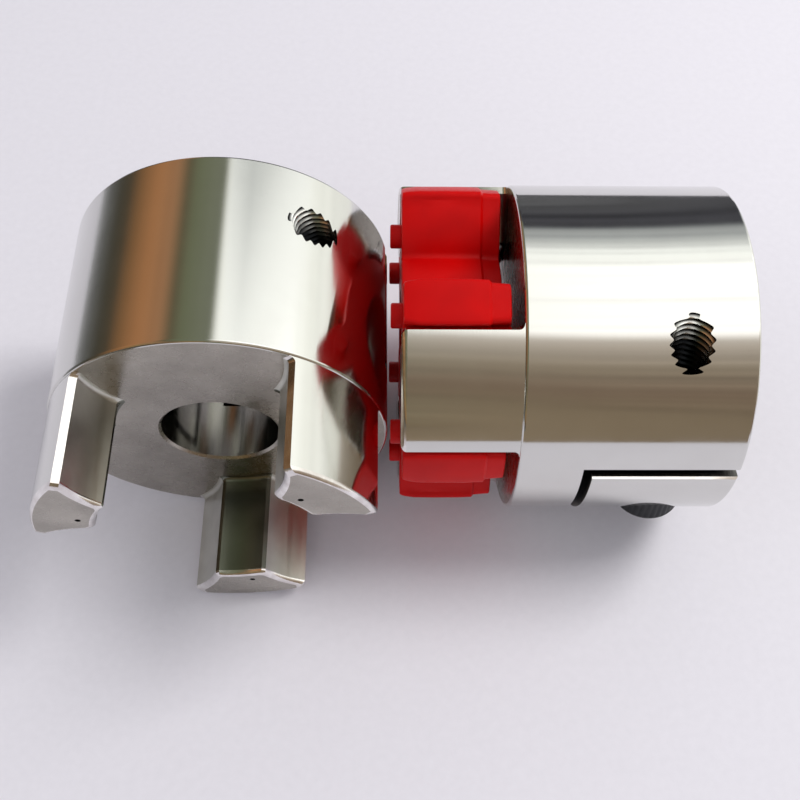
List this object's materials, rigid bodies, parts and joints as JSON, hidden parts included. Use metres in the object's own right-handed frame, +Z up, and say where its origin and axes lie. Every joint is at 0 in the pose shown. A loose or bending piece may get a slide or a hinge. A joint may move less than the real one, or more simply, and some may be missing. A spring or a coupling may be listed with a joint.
{
  "type": "jaw coupling",
  "caption": "Clamp-type jaw coupling pulled apart: two split clamp hubs with jaws, an elastic lobed spider seated on one hub, and a tangential clamp screw in each hub.",
  "frame": {"origin": "middle of the underside of the whole layout, on the surface that both hubs lie on", "axes": "+X along hub_b's shaft axis towards its back end, +Y away from hub_a's jaws along hub_a's shaft axis, +Z up"},
  "size_m": [0.0802, 0.0454, 0.04],
  "materials": {
    "hub_aluminium": "bright turned outside, duller milled faces and flanks",
    "screw_black": "black oxide",
    "spider_red": "satin moulded polyurethane"
  },
  "bodies": {
    "spider": {"spider": "spider_red"},
    "hub_a": {"hub_a": "hub_aluminium"},
    "hub_b": {"hub_b": "hub_aluminium"},
    "clamp_screw_a": {"clamp_screw_a": "screw_black"},
    "clamp_screw_b": {"clamp_screw_b": "screw_black"}
  },
  "joints": [
    {"name": "hub_b_pull", "type": "slide", "parent": "spider", "child": "hub_b", "axis": [1, 0, 0], "range_m": [0, 0.02]},
    {"name": "hub_a_swing", "type": "hinge", "parent": "spider", "child": "hub_a", "pos_m": [-0.0398, -0.01675, 0.02], "axis": [0, 0, 1], "range_deg": [0, 90]},
    {"name": "clamp_screw_a_turn", "type": "hinge", "parent": "hub_a", "child": "clamp_screw_a", "pos_m": [-0.00681, 0.00855, 0.02173], "axis": [0.1288, 0, -0.9917], "continuous": true},
    {"name": "clamp_screw_b_turn", "type": "hinge", "parent": "hub_b", "child": "clamp_screw_b", "pos_m": [0.0326, -0.01039, 0.0226], "axis": [0, -0.1942, -0.981], "continuous": true}
  ]
}
